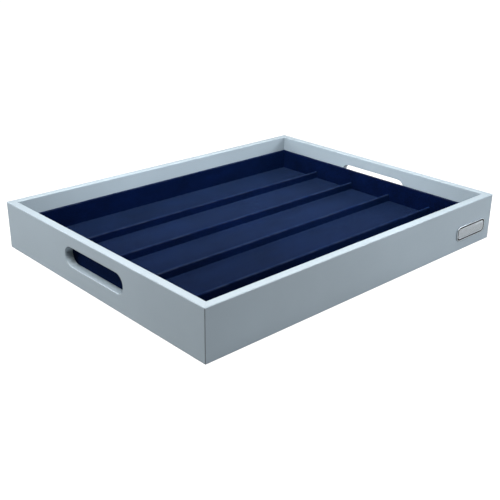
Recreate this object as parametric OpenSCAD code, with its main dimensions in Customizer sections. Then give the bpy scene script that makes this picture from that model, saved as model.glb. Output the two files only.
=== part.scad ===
// Coin display tray with a lift-out velvet insert.
//
// Four mitred and lacquered walls hold a base panel in a groove, and the two
// side walls have a rounded hand hole. The insert drops into the frame: a base
// board with raised, velvet-wrapped sides and four low dividers, which make
// five channels for square coin capsules.
//
// X runs along the front wall, Y from front to back, and Z up. The origin is
// on the table, under the middle of the tray.

/* [Tray] */
// Outside length of the tray, along the front
tray_w = 400; // [250:5:500]
// Outside depth of the tray, from front to back
tray_d = 315; // [300:5:400]
// Height of the walls
tray_h = 50; // [46:1:70]
// Thickness of the walls
wall_t = 8.5; // [7.5:0.5:12]
// Radius of the eased edges
edge_r = 0.8; // [0.4:0.1:1.5]

/* [Base panel] */
// Thickness of the base panel
panel_t = 4; // [3:0.5:5]
// Height of the panel's underside above the table
panel_lift = 3; // [2:0.5:5]
// Depth of the groove that holds the panel
groove_depth = 4; // [2:0.5:5]
// Play between the panel's edge and the bottom of the groove
groove_play = 0.25; // [0.1:0.05:0.5]

/* [Hand holes] */
// Length of each hand hole
hole_l = 94; // [80:1:120]
// Height of each hand hole
hole_h = 20; // [18:0.5:24]
// Height of a hand hole's middle above the table
hole_z = 27.8; // [24:0.1:32]
// Radius of the rounding on a hand hole's edges
hole_edge_r = 0.5; // [0.3:0.1:2]

/* [Insert] */
// Gap between the insert and the walls
insert_gap = 0.35; // [0.2:0.05:0.6]
// Thickness of the insert's base board
base_board_t = 3; // [2:0.5:4]
// Thickness of the velvet on the channel floors
lining_t = 0.9; // [0.5:0.1:1.5]
// Thickness of the boards inside the raised sides and the dividers
board_t = 2; // [1.5:0.1:3]
// Thickness of the velvet wrapped round a board
velvet_t = 0.5; // [0.3:0.1:0.8]
// Height of the raised sides' top edge above the table
liner_top = 33.5; // [26:0.5:38]
// Height of the dividers above the channel floors
divider_h = 7.6; // [5:0.1:12]
// Width of an inner channel
channel_w = 55; // [40:1:56]

/* [Nameplate] */
// Length of the nameplate
plate_w = 50; // [40:1:80]
// Height of the nameplate
plate_h = 15.5; // [14:0.5:20]
// Thickness of the nameplate
plate_t = 0.8; // [0.6:0.1:1.5]
// Distance from the nameplate to the right end of the front wall
plate_margin = 12; // [5:1:40]
// Height of the nameplate's middle above the table
plate_z = 19.1; // [16:0.1:30]
// Corner radius of the nameplate
plate_r = 5.5; // [3:0.5:6.5]
// Thickness of the adhesive pad behind the nameplate
adhesive_t = 0.3; // [0.1:0.1:0.5]

/* [Corner pins] */
// Diameter of the headless pins across the mitres
pin_d = 1.2; // [1:0.1:2]
// Length of the pins
pin_l = 25; // [18:1:30]

/* [Hidden] */
channels = 5;

$fn = 48;
over = 1; // how far a cutting shape runs past the face it cuts

lacquer = [0.60, 0.64, 0.68];
silver = [0.78, 0.79, 0.80];
enamel = [0.10, 0.11, 0.13];
greyboard = [0.42, 0.42, 0.41];
velvet_blue = [0.09, 0.13, 0.30];
velvet_dark = [0.04, 0.06, 0.17];

// Insert, outside and inside its raised sides
insert_w = tray_w - 2 * (wall_t + insert_gap);
insert_d = tray_d - 2 * (wall_t + insert_gap);
wrapped_t = board_t + 2 * velvet_t;
well_w = insert_w - 2 * wrapped_t;
well_d = insert_d - 2 * wrapped_t;

// Heights above the table
insert_z = panel_lift + panel_t;
base_top = insert_z + base_board_t;
floor_z = base_top + lining_t;
divider_top = floor_z + divider_h;
liner_h = liner_top - base_top;

channel_pitch = channel_w + wrapped_t;

// Corner pins: sunk below the lacquered face, two to a corner
pin_sink = 0.8;
pin_play = 0.02;
pin_heights = [14, 37];

// Nameplate: an inlaid border line round a reeded field
plate_x = tray_w / 2 - plate_margin - plate_w / 2;
border_inset = 0.6;
border_w = 1.7;
border_depth = 0.3;
field_gap = 0.9;
reed_pitch = 1.6;
reed_depth = 0.2;
adhesive_inset = 0.5;
field_w = plate_w - 2 * (border_inset + border_w + field_gap);
field_h = plate_h - 2 * (border_inset + border_w + field_gap);

function divider_y(i) = (i - channels / 2) * channel_pitch;
function channel_front(i) = i == 1 ? -well_d / 2 : divider_y(i - 1) + wrapped_t / 2;
function channel_back(i) = i == channels ? well_d / 2 : divider_y(i) - wrapped_t / 2;

// ---- Shared shapes ----

// Rectangle with rounded corners, its lower left corner at the origin
module rounded_rect(w, h, r) {
    translate([r, 0]) square([w - 2 * r, h]);
    translate([0, r]) square([w, h - 2 * r]);
    for (x = [r, w - r], y = [r, h - r])
        translate([x, y]) circle(r);
}

// The same, centred on the origin
module centred_rect(w, h, r) {
    translate([-w / 2, -h / 2]) rounded_rect(w, h, r);
}

// A section drawn in YZ, run along X
module run_along_x(length) {
    rotate([90, 0, 90]) linear_extrude(length, center = true) children();
}

// Places a piece made for the front at each side of a w by d rectangle
module at_front(w, d) { translate([0, -d / 2, 0]) children(); }
module at_back(w, d) { translate([0, d / 2, 0]) rotate(180) children(); }
module at_left(w, d) { translate([-w / 2, 0, 0]) rotate(-90) children(); }
module at_right(w, d) { translate([w / 2, 0, 0]) rotate(90) children(); }

// ---- Tray ----

module wall_section() {
    difference() {
        rounded_rect(wall_t, tray_h, edge_r);
        translate([wall_t - groove_depth, panel_lift])
            square([groove_depth + over, panel_t]);
    }
}

// One wall, its outer face at y = 0 and its ends cut at 45 degrees
module mitred_wall(length) {
    outer = length / 2 + over;
    inner = length / 2 - wall_t - over;
    intersection() {
        run_along_x(length) wall_section();
        translate([0, 0, -over])
            linear_extrude(tray_h + 2 * over)
                polygon([
                    [-outer, -over], [outer, -over],
                    [inner, wall_t + over], [-inner, wall_t + over]
                ]);
    }
}

// The tray's outline from above, which eases the upright corners
module tray_outline() {
    translate([0, 0, -over])
        linear_extrude(tray_h + 2 * over) centred_rect(tray_w, tray_d, edge_r);
}

// Half the section through a hand hole: distance from its axis, and depth into the wall
function hole_section() = let (half = hole_h / 2, r = hole_edge_r) concat(
    [[0, -over], [half + r, -over]],
    [for (a = [0:15:90]) [half + r * (1 - sin(a)), r * (1 - cos(a))]],
    [for (a = [90:-15:0]) [half + r * (1 - sin(a)), wall_t - r * (1 - cos(a))]],
    [[half + r, wall_t + over], [0, wall_t + over]]
);

// The hand hole as a solid: a straight stretch between two round ends
module hand_hole() {
    straight = hole_l - hole_h;
    translate([0, 0, hole_z]) {
        run_along_x(straight) {
            rotate(-90) polygon(hole_section());
            rotate(-90) mirror([1, 0]) polygon(hole_section());
        }
        for (side = [-1, 1])
            translate([side * straight / 2, 0, 0])
                rotate([-90, 0, 0])
                    rotate(-side * 90) rotate_extrude(angle = 180) polygon(hole_section());
    }
}

// All the pins, or the holes for them when r is larger
module pin_set(r) {
    for (side = [-1, 1], end = [-1, 1], z = pin_heights)
        translate([side * (tray_w - wall_t) / 2, end * (tray_d / 2 - pin_sink), z])
            rotate([end * 90, 0, 0]) cylinder(r = r, h = pin_l);
}

// Eases a wall's upright corners and bores its pin holes
module finished_wall() {
    difference() {
        intersection() {
            children();
            tray_outline();
        }
        pin_set(pin_d / 2 + pin_play);
    }
}

module front_wall() {
    color(lacquer) finished_wall() at_front(tray_w, tray_d) mitred_wall(tray_w);
}

module back_wall() {
    color(lacquer) finished_wall() at_back(tray_w, tray_d) mitred_wall(tray_w);
}

module side_wall() {
    difference() {
        mitred_wall(tray_d);
        hand_hole();
    }
}

module left_wall() {
    color(lacquer) finished_wall() at_left(tray_w, tray_d) side_wall();
}

module right_wall() {
    color(lacquer) finished_wall() at_right(tray_w, tray_d) side_wall();
}

module base_panel() {
    reach = 2 * (wall_t - groove_depth + groove_play);
    color(lacquer)
        translate([0, 0, panel_lift + panel_t / 2])
            cube([tray_w - reach, tray_d - reach, panel_t], center = true);
}

module corner_pins() {
    color(silver) pin_set(pin_d / 2);
}

// ---- Nameplate ----

// A flat shape stood on the front wall, from y = -back outwards by t
module on_front(back, t) {
    at_front(tray_w, tray_d)
        translate([plate_x, -back, plate_z]) rotate([90, 0, 0]) linear_extrude(t) children();
}

module border_ring() {
    w = plate_w - 2 * border_inset;
    h = plate_h - 2 * border_inset;
    difference() {
        centred_rect(w, h, plate_r - border_inset);
        centred_rect(w - 2 * border_w, h - 2 * border_w, plate_r - border_inset - border_w);
    }
}

module reeds() {
    count = floor(field_w / reed_pitch);
    for (i = [0:count - 1])
        translate([(i - (count - 1) / 2) * reed_pitch - reed_pitch / 4, -field_h / 2])
            square([reed_pitch / 2, field_h]);
}

module nameplate() {
    face = adhesive_t + plate_t;
    color(silver) difference() {
        on_front(adhesive_t, plate_t) centred_rect(plate_w, plate_h, plate_r);
        on_front(face - border_depth, border_depth + over) border_ring();
        on_front(face - reed_depth, reed_depth + over) reeds();
    }
}

module nameplate_border() {
    color(enamel) on_front(adhesive_t + plate_t - border_depth, border_depth) border_ring();
}

module nameplate_adhesive() {
    w = plate_w - 2 * adhesive_inset;
    h = plate_h - 2 * adhesive_inset;
    color(greyboard) on_front(0, adhesive_t) centred_rect(w, h, plate_r - adhesive_inset);
}

// ---- Insert ----

module insert_base() {
    color(greyboard)
        translate([0, 0, insert_z + base_board_t / 2])
            cube([insert_w, insert_d, base_board_t], center = true);
}

// A strip on the base board, from y = 0 backwards
module strip(length) {
    translate([0, 0, base_top]) run_along_x(length) children();
}

// The board inside a velvet-wrapped strip of height h
module strip_board(length, h) {
    color(greyboard)
        strip(length) translate([velvet_t, 0]) square([board_t, h - velvet_t]);
}

// The velvet round a strip's board, with its ends closed where the board is shorter
module strip_velvet(length, board_length, h) {
    color(velvet_dark) difference() {
        strip(length) square([wrapped_t, h]);
        strip(board_length)
            translate([velvet_t, -over]) square([board_t, h - velvet_t + over]);
    }
}

// The front and back strips run past the side strips, with velvet over their ends
module long_liner_board() { strip_board(insert_w - 2 * velvet_t, liner_h); }
module long_liner_velvet() { strip_velvet(insert_w, insert_w - 2 * velvet_t, liner_h); }
module side_liner_board() { strip_board(well_d, liner_h); }
module side_liner_velvet() { strip_velvet(well_d, well_d + 2 * over, liner_h); }

module at_divider(i) { translate([0, divider_y(i) - wrapped_t / 2, 0]) children(); }

module divider_board(i) {
    at_divider(i) strip_board(well_w, divider_top - base_top);
}

module divider_velvet(i) {
    at_divider(i) strip_velvet(well_w, well_w + 2 * over, divider_top - base_top);
}

module channel_lining(i) {
    color(velvet_blue)
        translate([-well_w / 2, channel_front(i), base_top])
            cube([well_w, channel_back(i) - channel_front(i), lining_t]);
}

// ---- Nodes ----

front_wall();
back_wall();
left_wall();
right_wall();
base_panel();
corner_pins();
nameplate();
nameplate_border();
nameplate_adhesive();
insert_base();

for (i = [1:channels])
    channel_lining(i);

at_front(insert_w, insert_d) long_liner_board();  // liner_board_front
at_back(insert_w, insert_d) long_liner_board();  // liner_board_back
at_left(insert_w, insert_d) side_liner_board();  // liner_board_left
at_right(insert_w, insert_d) side_liner_board();  // liner_board_right
at_front(insert_w, insert_d) long_liner_velvet();  // liner_velvet_front
at_back(insert_w, insert_d) long_liner_velvet();  // liner_velvet_back
at_left(insert_w, insert_d) side_liner_velvet();  // liner_velvet_left
at_right(insert_w, insert_d) side_liner_velvet();  // liner_velvet_right

for (i = [1:channels - 1]) {
    divider_board(i);
    divider_velvet(i);
}
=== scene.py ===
"""Looks for the coin display tray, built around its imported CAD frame.

Everything is in metres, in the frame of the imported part: X along the front wall, Y from front to
back, Z up, and the table at Z = 0. The walls, the panel, the pins, the boards and the adhesive pad
keep their CAD shapes. The velvet, the nameplate and its line get meshes of their own.
"""

import math

import bmesh
import bpy
import numpy as np
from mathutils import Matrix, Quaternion, Vector, noise

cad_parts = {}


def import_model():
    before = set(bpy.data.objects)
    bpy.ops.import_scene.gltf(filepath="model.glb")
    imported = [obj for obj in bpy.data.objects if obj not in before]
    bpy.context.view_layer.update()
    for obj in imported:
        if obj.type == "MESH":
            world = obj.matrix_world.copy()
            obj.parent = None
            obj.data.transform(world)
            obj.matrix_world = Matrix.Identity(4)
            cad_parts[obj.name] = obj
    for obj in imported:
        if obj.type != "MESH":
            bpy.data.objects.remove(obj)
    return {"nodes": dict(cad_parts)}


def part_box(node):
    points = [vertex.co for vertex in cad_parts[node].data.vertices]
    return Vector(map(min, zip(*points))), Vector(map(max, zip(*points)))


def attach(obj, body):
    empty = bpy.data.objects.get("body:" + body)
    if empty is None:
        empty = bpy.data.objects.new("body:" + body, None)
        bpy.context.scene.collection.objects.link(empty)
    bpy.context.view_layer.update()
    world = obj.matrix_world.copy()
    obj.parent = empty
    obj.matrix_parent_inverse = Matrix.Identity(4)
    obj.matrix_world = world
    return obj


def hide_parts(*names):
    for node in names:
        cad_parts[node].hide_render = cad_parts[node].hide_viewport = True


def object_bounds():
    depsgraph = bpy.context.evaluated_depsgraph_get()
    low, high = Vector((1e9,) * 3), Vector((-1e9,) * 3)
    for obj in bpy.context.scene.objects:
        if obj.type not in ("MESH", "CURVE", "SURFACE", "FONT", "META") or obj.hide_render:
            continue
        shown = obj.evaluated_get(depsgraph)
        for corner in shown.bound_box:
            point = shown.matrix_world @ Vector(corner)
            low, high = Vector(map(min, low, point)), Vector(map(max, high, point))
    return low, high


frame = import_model()
CAD_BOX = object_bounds()

MM = 0.001
CHANNELS = 5
SIDES = ("front", "back", "left", "right")
# The tray's back right top corner; the plate makes the box deeper at the front only
TRAY_HALF = CAD_BOX[1]
# Edges that turn by more than this many degrees stay sharp
SHARP_ANGLE = 50

# ---------------------------------------------------------------- node helpers


def new_material(name):
    """A material with an empty tree but for its output and one Principled shader."""
    material = bpy.data.materials.new(name)
    material.use_nodes = True
    tree = material.node_tree
    tree.nodes.clear()
    output = tree.nodes.new("ShaderNodeOutputMaterial")
    shader = tree.nodes.new("ShaderNodeBsdfPrincipled")
    tree.links.new(shader.outputs["BSDF"], output.inputs["Surface"])
    return material, tree, shader


def add_node(tree, kind, inputs=None, **settings):
    """A node with its settings, and each input set to a value or linked from a socket."""
    made = tree.nodes.new(kind)
    for key, value in settings.items():
        setattr(made, key, value)
    for key, value in (inputs or {}).items():
        if isinstance(value, bpy.types.NodeSocket):
            tree.links.new(value, made.inputs[key])
        else:
            made.inputs[key].default_value = value
    return made


def feed(tree, shader, **inputs):
    """Sets or links the shader's sockets; an underscore in a name stands for a space."""
    for key, value in inputs.items():
        socket = shader.inputs[key.replace("_", " ")]
        if isinstance(value, bpy.types.NodeSocket):
            tree.links.new(value, socket)
        else:
            socket.default_value = value


def place(tree, stretch=(1, 1, 1)):
    """The point where the piece stands at rest, stretched along the axes."""
    coordinates = add_node(tree, "ShaderNodeTexCoord")
    mapping = add_node(tree, "ShaderNodeMapping", {"Vector": coordinates.outputs["Object"]})
    mapping.inputs["Scale"].default_value = stretch
    return mapping.outputs["Vector"]


def grain(tree, at, size, detail=2.0, roughness=0.5):
    """Noise from 0 to 1 whose lumps are about size metres across."""
    made = add_node(
        tree,
        "ShaderNodeTexNoise",
        {"Vector": at, "Scale": 1 / size, "Detail": detail, "Roughness": roughness},
    )
    return made.outputs["Fac"]


def ramp(tree, factor, low, high):
    """Grey that runs evenly from one (position, grey) stop to another."""
    made = add_node(tree, "ShaderNodeValToRGB", {"Fac": factor})
    for element, (position, grey) in zip(made.color_ramp.elements, (low, high)):
        element.position = position
        element.color = (grey, grey, grey, 1)
    return made.outputs["Color"]


def maths(tree, operation, a, b=0.0):
    """One step of arithmetic on two numbers or sockets."""
    made = add_node(tree, "ShaderNodeMath", operation=operation)
    for socket, value in zip(made.inputs, (a, b)):
        if isinstance(value, bpy.types.NodeSocket):
            tree.links.new(value, socket)
        else:
            socket.default_value = value
    return made.outputs["Value"]


def mix_colour(tree, factor, a, b, blend="MIX"):
    """Colour a with b blended over it; each input is a socket or a value."""
    made = add_node(tree, "ShaderNodeMix", data_type="RGBA", blend_type=blend)
    for socket, value in ((made.inputs[0], factor), (made.inputs[6], a), (made.inputs[7], b)):
        if isinstance(value, bpy.types.NodeSocket):
            tree.links.new(value, socket)
        elif isinstance(value, (int, float)):
            socket.default_value = value
        else:
            socket.default_value = (*value, 1)
    return made.outputs[2]


def bump(tree, height, distance, strength, under=None):
    """A normal raised by height, on top of the normal called under."""
    inputs = {"Height": height, "Distance": distance, "Strength": strength}
    if under is not None:
        inputs["Normal"] = under
    return add_node(tree, "ShaderNodeBump", inputs).outputs["Normal"]


# ---------------------------------------------------------------- materials

# Linear colours; the deep ones are a velvet's ground, and the sheen ones its pile
LACQUER = (0.190, 0.238, 0.279)
FLOOR_DEEP = (0.0009, 0.0028, 0.0125)
FLOOR_SHEEN = (0.0205, 0.042, 0.104)
# The wrapped velvet is the floor's cloth with a darker ground and a bluer sheen: painted shade on
# its upright faces
WRAPPED_DEEP = (0.0002, 0.0016, 0.0125)
WRAPPED_SHEEN = (0.009, 0.040, 0.152)
# A painted highlight along the velvet's bent top edges, where its pile also opens
FOLD_HIGHLIGHT = (0.0075, 0.011, 0.023)
LINT = (0.02, 0.03, 0.055)
TARNISH = (0.26, 0.29, 0.32)

# How large the grain of each material is
LACQUER_CLOUD = 60 * MM
LACQUER_PEEL = 1.6 * MM
LACQUER_FLAKE = 0.25 * MM
RUB_HIGHLIGHT_PATCH = 9 * MM
VELVET_TUFT = 1.4 * MM
VELVET_PILE = 0.4 * MM
VELVET_FLUFF = 0.7 * MM
# Patches of the painted highlight along the velvet's folds
FOLD_HIGHLIGHT_PATCH = 12 * MM
METAL_STREAK = 6 * MM
ENAMEL_CLOUD = 2 * MM
BOARD_FIBRE = 3 * MM
BOARD_FLECK = 0.8 * MM

# How near a face's normal is to an axis, as a cosine: more than the first and the face is flat,
# less than the second and it is part of a rounded edge
FLAT_COSINE = 0.995
ROUND_COSINE = 0.96

# The hairline between two walls: how dark it is, its half widths, where on the rim it ends, and
# how strong it is down the corner and over the rim
SEAM_DARK = 0.42
SEAM_CORE = 0.18 * MM
SEAM_EDGE = 0.62 * MM
SEAM_TOP = 0.5 * MM
SEAM_FADE = 1.2 * MM
SEAM_UPRIGHT = 0.85
SEAM_RIM = 0.15


def fade(tree, value, near, far):
    """1 while the value is below near, 0 from far on, and a straight line between."""
    made = add_node(
        tree, "ShaderNodeMapRange", {"Value": value, "From Min": near, "From Max": far}, clamp=True
    )
    made.inputs["To Min"].default_value = 1.0
    made.inputs["To Max"].default_value = 0.0
    return made.outputs["Result"]


def mitre_seam(tree, at):
    """1 in the hairline between two walls: down the upright corner, and faintly over the rim."""
    sides = add_node(tree, "ShaderNodeSeparateXYZ", {"Vector": at})
    across, along = (maths(tree, "ABSOLUTE", sides.outputs[axis]) for axis in ("X", "Y"))
    off = maths(tree, "SUBTRACT", across, along)
    off = maths(tree, "ABSOLUTE", maths(tree, "SUBTRACT", off, TRAY_HALF.x - TRAY_HALF.y))
    line = fade(tree, off, SEAM_CORE, SEAM_EDGE)
    top = TRAY_HALF.z
    upright = fade(tree, sides.outputs["Z"], top - SEAM_FADE, top - SEAM_TOP)
    inside = fade(tree, across, TRAY_HALF.x - 2 * MM, TRAY_HALF.x - MM)
    outside = maths(tree, "SUBTRACT", 1.0, inside)
    strength = maths(tree, "MULTIPLY", maths(tree, "MULTIPLY", upright, SEAM_UPRIGHT), outside)
    return maths(tree, "MULTIPLY", line, maths(tree, "ADD", strength, SEAM_RIM))


def eased_edge(tree, at):
    """1 on rounded edges, where no axis is square to the face, broken up along their length."""
    normal = add_node(tree, "ShaderNodeNewGeometry").outputs["True Normal"]
    upright = add_node(tree, "ShaderNodeVectorMath", {0: normal}, operation="ABSOLUTE")
    parts = add_node(tree, "ShaderNodeSeparateXYZ", {"Vector": upright.outputs["Vector"]})
    largest = maths(tree, "MAXIMUM", parts.outputs["X"], parts.outputs["Y"])
    largest = maths(tree, "MAXIMUM", largest, parts.outputs["Z"])
    rub_and_highlight = ramp(tree, grain(tree, at, RUB_HIGHLIGHT_PATCH, detail=4), (0.42, 0.15), (0.66, 1.0))
    return maths(tree, "MULTIPLY", fade(tree, largest, ROUND_COSINE, FLAT_COSINE), rub_and_highlight)


def lacquer(name, colour, gloss, mitred):
    """Sprayed satin lacquer: a fine orange peel, edges lighter from rub wear and a painted
    highlight, and hairlines if it is mitred.
    """
    material, tree, shader = new_material(name)
    at = place(tree)
    cloud = grain(tree, at, LACQUER_CLOUD, detail=3)
    peel = grain(tree, at, LACQUER_PEEL, detail=2)
    speck = grain(tree, at, LACQUER_FLAKE, detail=1)
    rub_and_highlight = eased_edge(tree, at)
    tone = ramp(tree, cloud, (0.3, 0.97), (0.7, 1.03))
    base = mix_colour(tree, 1.0, colour, tone, "MULTIPLY")
    flake = ramp(tree, speck, (0.35, 0.965), (0.65, 1.035))
    base = mix_colour(tree, 1.0, base, flake, "MULTIPLY")
    # Rounded edges lighter in colour: partly rub wear, partly a painted highlight
    worn_and_lit = [c * 1.12 for c in colour]
    base = mix_colour(tree, maths(tree, "MULTIPLY", rub_and_highlight, 0.6), base, worn_and_lit)
    if mitred:
        base = mix_colour(tree, mitre_seam(tree, at), base, [c * SEAM_DARK for c in colour])
    rough = maths(tree, "ADD", maths(tree, "MULTIPLY", peel, 0.08), gloss)
    rough = maths(tree, "ADD", rough, maths(tree, "MULTIPLY", rub_and_highlight, 0.08))
    normal = bump(tree, speck, 0.004 * MM, 0.5)
    normal = bump(tree, peel, 0.02 * MM, 0.5, normal)
    feed(tree, shader, Base_Color=base, Roughness=rough, Normal=normal)
    return material


def velvet(name, deep, sheen, nap_size):
    """Short pile: an almost black ground under a blue sheen that changes slowly across the cloth.

    A mesh attribute is 1 where the cloth is bent over an edge; there its pile opens, and a painted
    highlight lightens it in patches.
    """
    material, tree, shader = new_material(name)
    at = place(tree)
    fold_highlight = add_node(tree, "ShaderNodeAttribute", attribute_name="fold_highlight").outputs["Fac"]
    nap = grain(tree, place(tree, (0.45, 1, 1)), nap_size, detail=5, roughness=0.65)
    tuft = grain(tree, at, VELVET_TUFT, detail=3, roughness=0.7)
    pile = grain(tree, at, VELVET_PILE, detail=2, roughness=0.7)
    fluff = grain(tree, at, VELVET_FLUFF, detail=1)
    tone = ramp(tree, nap, (0.34, 0.7), (0.66, 1.3))
    base = mix_colour(tree, 1.0, deep, tone, "MULTIPLY")
    fine = ramp(tree, tuft, (0.3, 0.6), (0.7, 1.4))
    base = mix_colour(tree, 1.0, base, fine, "MULTIPLY")
    fibre = ramp(tree, pile, (0.35, 0.45), (0.65, 1.6))
    base = mix_colour(tree, 1.0, base, fibre, "MULTIPLY")
    base = mix_colour(tree, ramp(tree, fluff, (0.76, 0.0), (0.82, 0.6)), base, LINT)
    # Patches of a painted highlight, with opened pile, along the folds
    worn_and_lit = grain(tree, at, FOLD_HIGHLIGHT_PATCH, detail=5, roughness=0.65)
    highlight_patches = ramp(tree, worn_and_lit, (0.38, 0.1), (0.60, 1.0))
    base = mix_colour(tree, maths(tree, "MULTIPLY", fold_highlight, highlight_patches), base, FOLD_HIGHLIGHT)
    normal = bump(tree, pile, 0.3 * MM, 0.7)
    normal = bump(tree, tuft, 0.45 * MM, 0.5, normal)
    feed(tree, shader, Base_Color=base, Roughness=0.9, Normal=normal)
    shader.inputs["Specular IOR Level"].default_value = 0.02
    shader.inputs["Sheen Weight"].default_value = 1.0
    shader.inputs["Sheen Roughness"].default_value = 0.42
    shader.inputs["Sheen Tint"].default_value = (*sheen, 1)
    return material


def brushed_metal(name, colour, along=(1, 40, 40)):
    """Brushed metal, tarnished dark where the mesh's "hollow" attribute is 1."""
    material, tree, shader = new_material(name)
    streaks = grain(tree, place(tree, along), METAL_STREAK, detail=4, roughness=0.7)
    shade = ramp(tree, streaks, (0.3, 0.0), (0.7, 1.0))
    base = mix_colour(tree, shade, [c * 0.86 for c in colour], colour)
    hollow = add_node(tree, "ShaderNodeAttribute", attribute_name="hollow").outputs["Fac"]
    base = mix_colour(tree, hollow, base, TARNISH)
    feed(
        tree,
        shader,
        Base_Color=base,
        Metallic=1.0,
        Roughness=maths(tree, "ADD", maths(tree, "MULTIPLY", streaks, 0.2), 0.22),
        Normal=bump(tree, streaks, 0.01 * MM, 0.5),
    )
    return material


def enamel(name, colour):
    """A hard glossy fill with a faint cloudiness."""
    material, tree, shader = new_material(name)
    cloud = grain(tree, place(tree), ENAMEL_CLOUD, detail=2)
    base = mix_colour(tree, 1.0, colour, ramp(tree, cloud, (0.3, 0.85), (0.7, 1.15)), "MULTIPLY")
    feed(tree, shader, Base_Color=base, Roughness=0.3, Normal=bump(tree, cloud, 0.01 * MM, 0.4))
    shader.inputs["Specular IOR Level"].default_value = 0.2
    return material


def pressed_board(name, colour):
    """Grey pressed board: long fibres, dark flecks and a dull face."""
    material, tree, shader = new_material(name)
    at = place(tree)
    fibre = grain(tree, place(tree, (1, 5, 5)), BOARD_FIBRE, detail=4, roughness=0.7)
    fleck = grain(tree, at, BOARD_FLECK, detail=3, roughness=0.7)
    shade = ramp(tree, fibre, (0.35, 0.0), (0.65, 1.0))
    base = mix_colour(tree, shade, [c * 0.8 for c in colour], [c * 1.15 for c in colour])
    spots = ramp(tree, fleck, (0.62, 0.0), (0.74, 0.55))
    base = mix_colour(tree, spots, base, (0.05, 0.05, 0.05))
    feed(tree, shader, Base_Color=base, Roughness=0.85, Normal=bump(tree, fibre, 0.06 * MM, 0.5))
    shader.inputs["Specular IOR Level"].default_value = 0.25
    return material


wall_lacquer = lacquer("wall_lacquer", LACQUER, 0.34, mitred=True)
panel_lacquer = lacquer("panel_lacquer", [c * 0.9 for c in LACQUER], 0.5, mitred=False)
floor_velvet = velvet("floor_velvet", FLOOR_DEEP, FLOOR_SHEEN, 26 * MM)
# The same cloth as the floor velvet, made darker as painted shade on upright faces
wrapped_velvet = velvet("wrapped_velvet", WRAPPED_DEEP, WRAPPED_SHEEN, 18 * MM)
plate_metal = brushed_metal("plate_metal", (0.70, 0.78, 0.85))
pin_steel = brushed_metal("pin_steel", (0.45, 0.45, 0.46), (40, 1, 40))
# A dark line round the plate, standing in for the painted shade along a raised badge's edge
plate_enamel = enamel("plate_enamel", (0.004, 0.005, 0.007))
adhesive_pad = enamel("adhesive_pad", (0.05, 0.05, 0.05))
backing_board = pressed_board("backing_board", (0.16, 0.16, 0.155))

CAD_MATERIALS = {
    "base_panel": panel_lacquer,
    "corner_pins": pin_steel,
    "nameplate_adhesive": adhesive_pad,
    "insert_base": backing_board,
}
for side in SIDES:
    CAD_MATERIALS[f"{side}_wall"] = wall_lacquer
    CAD_MATERIALS[f"liner_board_{side}"] = backing_board
for i in range(1, CHANNELS):
    CAD_MATERIALS[f"divider_board_{i}"] = backing_board
for name, material in CAD_MATERIALS.items():
    data = frame["nodes"][name].data
    data.materials.clear()
    data.materials.append(material)

# ---------------------------------------------------------------- velvet


def piece_from(name, mesh, material, body, replaced):
    """A finished mesh as a piece that rides on a body and stands for one CAD node."""
    data = bpy.data.meshes.new(name)
    mesh.to_mesh(data)
    mesh.free()
    made = bpy.data.objects.new(name, data)
    bpy.context.scene.collection.objects.link(made)
    data.materials.append(material)
    for face in data.polygons:
        face.use_smooth = True
    data.set_sharp_from_angle(angle=math.radians(SHARP_ANGLE))
    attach(made, body)
    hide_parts(replaced)
    return made


def bridge(mesh, a, b):
    """Faces between two closed loops of as many points."""
    for k in range(len(a)):
        n = (k + 1) % len(a)
        mesh.faces.new((a[k], a[n], b[n], b[k]))


def ripple(point, size, depth):
    """Smooth unevenness up to depth either way, with lumps about size across."""
    return depth * noise.noise(point / size)


# Channel floors: grid spacing, the roll along the edges, and the unevenness of the cloth
GRID = 2.2 * MM
EDGE_ROLL = 1.1 * MM
EDGE_DROP = 0.55 * MM
ROLL_SHARES = (0, 0.15, 0.4, 0.7)
FLOOR_RIPPLE = 0.10 * MM
FLOOR_WAVE = 22 * MM


def rolled_lines(low, high):
    """Where a floor's grid lines run: evenly, with extra ones where the edge rolls down."""
    count = max(2, round((high - low - 2 * EDGE_ROLL) / GRID))
    inner = np.linspace(low + EDGE_ROLL, high - EDGE_ROLL, count + 1)
    start = [low + EDGE_ROLL * share for share in ROLL_SHARES]
    return start + list(inner) + [low + high - v for v in reversed(start)]


def channel_floor(index):
    """One channel's velvet: a laid strip, a little uneven, with its edges rolled down."""
    node = f"channel_lining_{index}"
    low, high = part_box(node)
    xs, ys = rolled_lines(low.x, high.x), rolled_lines(low.y, high.y)
    mesh = bmesh.new()

    def height(x, y):
        inside = min(x - low.x, high.x - x, y - low.y, high.y - y, EDGE_ROLL)
        turn = 1 - inside / EDGE_ROLL
        drop = EDGE_DROP * (1 - math.sqrt(max(0.0, 1 - turn * turn)))
        wave = ripple(Vector((x, y, index)), FLOOR_WAVE, FLOOR_RIPPLE)
        return high.z - FLOOR_RIPPLE - drop + wave

    top = [[mesh.verts.new((x, y, height(x, y))) for y in ys] for x in xs]
    bottom = [[mesh.verts.new((x, y, low.z)) for y in ys] for x in xs]
    rows, columns = len(xs), len(ys)
    for r in range(rows - 1):
        for c in range(columns - 1):
            mesh.faces.new((top[r][c], top[r + 1][c], top[r + 1][c + 1], top[r][c + 1]))
            mesh.faces.new((bottom[r][c], bottom[r][c + 1], bottom[r + 1][c + 1], bottom[r + 1][c]))
    for r in range(rows - 1):
        mesh.faces.new((bottom[r][0], bottom[r + 1][0], top[r + 1][0], top[r][0]))
        mesh.faces.new((top[r][-1], top[r + 1][-1], bottom[r + 1][-1], bottom[r][-1]))
    for c in range(columns - 1):
        mesh.faces.new((top[0][c], top[0][c + 1], bottom[0][c + 1], bottom[0][c]))
        mesh.faces.new((bottom[-1][c], bottom[-1][c + 1], top[-1][c + 1], top[-1][c]))
    made = piece_from(f"velvet_floor_{index}", mesh, floor_velvet, "insert", node)


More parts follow.
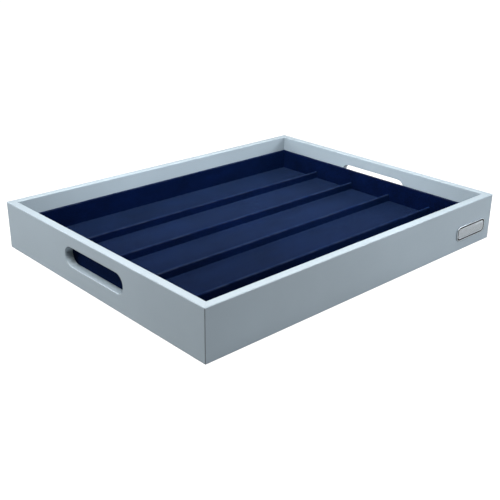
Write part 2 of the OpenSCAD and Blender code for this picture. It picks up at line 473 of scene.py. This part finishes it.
# Wrapped strips: spacing along them, the top's rounding, the cloth's thickness and unevenness
WRAP_STEP = 2.5 * MM
WRAP_ROUND = 1.15 * MM
WRAP_RIPPLE = 0.09 * MM
WRAP_WAVE = 14 * MM
CLIMB_SHARES = (0, 0.25, 0.5, 0.75, 0.93)
BEND_STEP = 15
# The bend in degrees from which the fold's painted highlight is full
FOLD_HIGHLIGHT_FULL = 45
SKIN = 0.5 * MM
END_EASE = 0.25 * MM


def wrap_section(width, height):
    """The velvet's outside over a board, up, over the rounded top and down, and its lining.

    Each point is (across, up, weight), and the weight, 1 on the bend, sets the painted highlight
    there.
    """
    bend = WRAP_ROUND
    rise = [(0, (height - bend) * share, 0) for share in CLIMB_SHARES]
    for degrees in range(0, 91, BEND_STEP):
        turn = math.radians(degrees)
        up = height - bend + bend * math.sin(turn)
        rise.append((bend - bend * math.cos(turn), up, min(1, degrees / FOLD_HIGHLIGHT_FULL)))
    fall = [(width - across, up, fold_highlight) for across, up, fold_highlight in reversed(rise)]
    lining = [
        (width - SKIN, 0, 0),
        (width - SKIN, height - SKIN, 0),
        (SKIN, height - SKIN, 0),
        (SKIN, 0, 0),
    ]
    return rise + fall, lining


def close_end(mesh, point_at, along, ring, outside, fold_highlights):
    """Covers a strip's end with velvet: ring is the ring beside it, outside its outer points."""
    width, height = outside[-1][0], max(up for across, up, fold_highlight in outside)
    end = []
    for across, up, fold_highlight in outside:
        across = min(max(across, END_EASE), width - END_EASE)
        vertex = mesh.verts.new(point_at(along, across, min(up, height - WRAP_RIPPLE - END_EASE)))
        vertex[fold_highlights] = fold_highlight
        end.append(vertex)
    outer, lining = ring[: len(outside)], ring[len(outside) :]
    for k in range(len(end) - 1):
        mesh.faces.new((end[k], end[k + 1], outer[k + 1], outer[k]))
    mesh.faces.new(end)
    mesh.faces.new(lining)
    mesh.faces.new((end[0], end[-1], outer[-1], lining[0], lining[-1], outer[0]))


def wrapped_strip(name, node, covered):
    """Velvet wrapped over one board, with the slight waviness of cloth pulled over an edge.

    A covered strip has velvet over both ends of its board too.
    """
    low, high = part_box(node)
    size = high - low
    length, width = max(size.x, size.y), min(size.x, size.y)
    outside, lining = wrap_section(width, size.z)
    mesh = bmesh.new()
    fold_highlights = mesh.verts.layers.float.new("fold_highlight")

    def point_at(along, across, up):
        return low + Vector((along, across, up) if size.x > size.y else (across, along, up))

    start = SKIN if covered else 0
    stations = np.linspace(start, length - start, round(length / WRAP_STEP) + 1)
    rings = []
    for along in stations:
        ring = []
        for k, (across, up, fold_highlight) in enumerate(outside + lining):
            point = point_at(along, across, up)
            if k < len(outside):
                dip = WRAP_RIPPLE - ripple(point, WRAP_WAVE, WRAP_RIPPLE)
                point.z -= dip * up / size.z
            vertex = mesh.verts.new(point)
            vertex[fold_highlights] = fold_highlight
            ring.append(vertex)
        rings.append(ring)
    for a, b in zip(rings, rings[1:]):
        bridge(mesh, a, b)
    if covered:
        close_end(mesh, point_at, 0, rings[0], outside, fold_highlights)
        close_end(mesh, point_at, length, rings[-1], outside, fold_highlights)
    else:
        mesh.faces.new(rings[0])
        mesh.faces.new(rings[-1])
    bmesh.ops.recalc_face_normals(mesh, faces=mesh.faces)
    made = piece_from(name, mesh, wrapped_velvet, "insert", node)


for i in range(1, CHANNELS + 1):
    channel_floor(i)
for side in SIDES:
    covered = side in ("front", "back")
    wrapped_strip(f"velvet_side_{side}", f"liner_velvet_{side}", covered)
for i in range(1, CHANNELS):
    wrapped_strip(f"velvet_divider_{i}", f"divider_velvet_{i}", False)

# ---------------------------------------------------------------- nameplate

# The plate has the CAD plate's sizes. First its outline and its eased rim
ARC_STEPS = 10
PLATE_RADIUS = 5.5 * MM
PLATE_RIM = 0.22 * MM
RIM_SHARE = 0.3
# Then the enamel line, domed in its groove; dark all round the plate, it stands in for the painted
# shade along a raised badge's edge
LINE_WIDTH = 1.7 * MM
LINE_SINK = 0.06 * MM
LINE_PLAY = 0.01 * MM
LINE_SHOULDER = 1.25
# Last the sunk field and its reeds; a reed's shape is (share of its length, share of its rise)
FIELD_GAP = 0.9 * MM
FIELD_SINK = 0.2 * MM
FIELD_WALL = 0.12 * MM
REED_PITCH = 1.6 * MM
REED_HALF = 0.5 * MM
REED_RISE = 0.19 * MM
REED_ROOT = 0.05 * MM
REED_STEP = 30
REED_SHAPE = ((-1, 0.3), (-0.97, 0.75), (-0.9, 1.0), (0.9, 1.0), (0.97, 0.75), (1, 0.3))


def plate_loop(mesh, low, high, offset, y, hollow=0.0):
    """Points round the plate's outline at depth y, offset inwards from its edge."""
    hollows = mesh.verts.layers.float.get("hollow") or mesh.verts.layers.float.new("hollow")
    half_w, half_h = (high.x - low.x) / 2 - offset, (high.z - low.z) / 2 - offset
    radius = PLATE_RADIUS - offset
    points = []
    for quarter, (right, up) in enumerate(((1, 1), (-1, 1), (-1, -1), (1, -1))):
        for step in range(ARC_STEPS + 1):
            turn = math.radians(90 * (quarter + step / ARC_STEPS))
            x = (low.x + high.x) / 2 + right * (half_w - radius) + radius * math.cos(turn)
            z = (low.z + high.z) / 2 + up * (half_h - radius) + radius * math.sin(turn)
            vertex = mesh.verts.new((x, y, z))
            vertex[hollows] = hollow
            points.append(vertex)
    return points


def reed(mesh, x, face, middle, reach):
    """One half-round reed, closed at its ends, with its root a little inside the plate."""
    hollows = mesh.verts.layers.float.get("hollow")
    rings = []
    for share, rise in REED_SHAPE:
        z = middle + share * reach
        ring = []
        for degrees in range(0, 181, REED_STEP):
            turn = math.radians(degrees)
            y = face - REED_RISE * rise * math.sin(turn)
            ring.append(mesh.verts.new((x - REED_HALF * math.cos(turn), y, z)))
            ring[-1][hollows] = max(0, 1 - 2 * math.sin(turn))
        for side in (1, -1):
            ring.append(mesh.verts.new((x + side * REED_HALF, face + REED_ROOT, z)))
            ring[-1][hollows] = 1
        rings.append(ring)
    for a, b in zip(rings, rings[1:]):
        bridge(mesh, a, b)
    mesh.faces.new(rings[0])
    mesh.faces.new(list(reversed(rings[-1])))


def nameplate():
    """The plate: an eased rim, a groove for the enamel line, and a sunk field of fine reeds."""
    low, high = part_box("nameplate")
    line_low, line_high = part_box("nameplate_border")
    inset = line_low.x - low.x
    groove = line_high.y - low.y
    field = inset + LINE_WIDTH + FIELD_GAP
    profile = (
        (0, high.y - low.y, 0),
        (0, PLATE_RIM, 0),
        (PLATE_RIM * RIM_SHARE, PLATE_RIM * RIM_SHARE, 0),
        (PLATE_RIM, 0, 0),
        (inset, 0, 0),
        (inset, groove, 1),
        (inset + LINE_WIDTH, groove, 1),
        (inset + LINE_WIDTH, 0, 0),
        (field - FIELD_WALL, 0, 0),
        (field, FIELD_SINK, 1),
    )
    mesh = bmesh.new()
    loops = [plate_loop(mesh, low, high, off, low.y + deep, dark) for off, deep, dark in profile]
    for a, b in zip(loops, loops[1:]):
        bridge(mesh, a, b)
    mesh.faces.new(loops[0])
    mesh.faces.new(list(reversed(loops[-1])))
    half_w, half_h = (high.x - low.x) / 2 - field, (high.z - low.z) / 2 - field
    corner = PLATE_RADIUS - field
    count = int(2 * half_w / REED_PITCH)
    for k in range(count):
        across = (k - (count - 1) / 2) * REED_PITCH
        past = max(0, abs(across) + REED_HALF - (half_w - corner))
        reach = half_h - corner + math.sqrt(corner**2 - past**2) - 2 * FIELD_WALL
        reed(mesh, (low.x + high.x) / 2 + across, low.y + FIELD_SINK, (low.z + high.z) / 2, reach)
    bmesh.ops.recalc_face_normals(mesh, faces=mesh.faces)
    piece_from("name_plate", mesh, plate_metal, "tray", "nameplate")

    # The dark line: painted shade along the plate's edge, built as an enamel fill
    middle = inset + LINE_WIDTH / 2
    near, far = inset + LINE_PLAY, inset + LINE_WIDTH - LINE_PLAY
    section = (
        (near, groove - LINE_PLAY),
        (near, 2 * LINE_SINK),
        ((near + middle) / 2, LINE_SHOULDER * LINE_SINK),
        (middle, LINE_SINK),
        ((middle + far) / 2, LINE_SHOULDER * LINE_SINK),
        (far, 2 * LINE_SINK),
        (far, groove - LINE_PLAY),
    )
    mesh = bmesh.new()
    loops = [plate_loop(mesh, low, high, offset, low.y + depth) for offset, depth in section]
    for a, b in zip(loops, loops[1:] + loops[:1]):
        bridge(mesh, a, b)
    bmesh.ops.recalc_face_normals(mesh, faces=mesh.faces)
    piece_from("plate_line", mesh, plate_enamel, "tray", "nameplate_border")


nameplate()

# ---------------------------------------------------------------- stage

# The floor glows: brightly where it is seen, and faintly in the light it throws on the tray
FLOOR_SEEN = 0.85
FLOOR_BOUNCE = 0.08
FLOOR_RADIUS = 14
FLOOR_DROP = 0.2 * MM


def stage_floor():
    """A round pale floor, just under the tray so that their faces don't coincide."""
    data = bpy.data.meshes.new("studio_floor")
    mesh = bmesh.new()
    bmesh.ops.create_circle(mesh, cap_ends=True, segments=96, radius=FLOOR_RADIUS)
    mesh.to_mesh(data)
    mesh.free()
    floor = bpy.data.objects.new("studio_floor", data)
    floor.location.z = -FLOOR_DROP
    bpy.context.scene.collection.objects.link(floor)
    material, tree, shader = new_material("studio_floor")
    seen = add_node(tree, "ShaderNodeLightPath").outputs["Is Camera Ray"]
    glow = maths(tree, "MULTIPLY", seen, FLOOR_SEEN - FLOOR_BOUNCE)
    glow = maths(tree, "ADD", glow, FLOOR_BOUNCE)
    feed(tree, shader, Base_Color=(0.2, 0.2, 0.2, 1), Roughness=0.9, Emission_Strength=glow)
    shader.inputs["Emission Color"].default_value = (1, 1, 1, 1)
    shader.inputs["Specular IOR Level"].default_value = 0.1
    data.materials.append(material)


def area_light(name, location, target, size, power, spread=180, colour=(1, 1, 1), glint=True):
    """A soft box at a place, aimed at a target; without a glint it makes no highlights."""
    data = bpy.data.lights.new(name, "AREA")
    data.spread = math.radians(spread)
    data.shape = "RECTANGLE"
    data.size, data.size_y = size
    data.energy = power
    data.color = colour
    light = bpy.data.objects.new(name, data)
    light.location = location
    light.rotation_euler = (Vector(target) - Vector(location)).to_track_quat("-Z", "Y").to_euler()
    light.visible_camera = False
    light.visible_glossy = glint
    bpy.context.scene.collection.objects.link(light)


def sun(name, direction, strength, angle, colour):
    """Even light along a direction, softened over an angle."""
    data = bpy.data.lights.new(name, "SUN")
    data.energy = strength
    data.color = colour
    data.angle = math.radians(angle)
    light = bpy.data.objects.new(name, data)
    light.rotation_euler = Vector(direction).to_track_quat("-Z", "Y").to_euler()
    bpy.context.scene.collection.objects.link(light)


def world(background, fill):
    """White behind the tray, and a faint even light on it."""
    made = bpy.data.worlds.new("studio")
    bpy.context.scene.world = made
    made.use_nodes = True
    tree = made.node_tree
    tree.nodes.clear()
    output = add_node(tree, "ShaderNodeOutputWorld")
    seen = add_node(tree, "ShaderNodeBackground", {"Color": (1, 1, 1, 1), "Strength": background})
    lit = add_node(tree, "ShaderNodeBackground", {"Color": (0.95, 0.98, 1, 1), "Strength": fill})
    rays = add_node(tree, "ShaderNodeLightPath")
    split = {0: rays.outputs["Is Camera Ray"], 1: lit.outputs[0], 2: seen.outputs[0]}
    both = add_node(tree, "ShaderNodeMixShader", split)
    tree.links.new(both.outputs[0], output.inputs["Surface"])


# Two shades of warm white
WARM = (1.0, 0.955, 0.90)
SOFT = (1.0, 0.97, 0.93)

stage_floor()
world(background=1.0, fill=0.02)
sun("overhead_sky", (0.30, 0.0, -0.954), 2.92, 30, WARM)
# Each soft box: place, target, size in metres, power in watts, spread in degrees
area_light(
    "key_box", (-0.25, -0.08, 0.55), (0.1, 0.08, 0.03), (0.4, 0.4), 3.45, 120, SOFT, glint=False
)
area_light(
    "right_box", (0.24, -0.12, 0.60), (0.14, 0.0, 0.03), (0.4, 0.4), 0.95, 120, SOFT, glint=False
)
area_light(
    "grid_box", (-0.12, -0.10, 0.18), (0.20, 0.18, 0.03), (0.3, 0.10), 0.35, 100, glint=False
)
area_light("back_panel", (1.2, 1.35, 1.5), (0.0, 0.0, 0.05), (2.0, 0.8), 20.5, colour=WARM)
area_light("left_fill", (-0.70, 0.60, 0.30), (-0.2, 0.1, 0.03), (0.3, 0.3), 5.68)
area_light("right_fill", (0.75, -0.95, 0.45), (0.2, -0.15, 0.03), (0.4, 0.4), 16.2)

# ---------------------------------------------------------------- camera

CAMERA_LENS = 58.2
CAMERA_SENSOR = 36
CAMERA_CLIP = (0.02, 60)
CAMERA_AZIMUTH = -43.04
CAMERA_ELEVATION = 23.19
CAMERA_ROLL = 0.72
CAMERA_DISTANCE = 0.7786
CAMERA_TARGET = Vector((-0.0585, -0.0554, 0.025))


def camera():
    """The camera, on a line from its target at an azimuth and an elevation in degrees."""
    data = bpy.data.cameras.new("camera")
    data.sensor_width = CAMERA_SENSOR
    data.lens = CAMERA_LENS
    data.clip_start, data.clip_end = CAMERA_CLIP
    made = bpy.data.objects.new("camera", data)
    a, e = math.radians(CAMERA_AZIMUTH), math.radians(CAMERA_ELEVATION)
    back = Vector((math.sin(a) * math.cos(e), -math.cos(a) * math.cos(e), math.sin(e)))
    made.location = CAMERA_TARGET + back * CAMERA_DISTANCE
    made.rotation_mode = "QUATERNION"
    turn = (-back).to_track_quat("-Z", "Y")
    made.rotation_quaternion = turn @ Quaternion((0, 0, 1), math.radians(CAMERA_ROLL))
    bpy.context.scene.collection.objects.link(made)
    bpy.context.scene.camera = made


camera()
view = bpy.context.scene.view_settings
view.view_transform = "Standard"
view.look = "None"
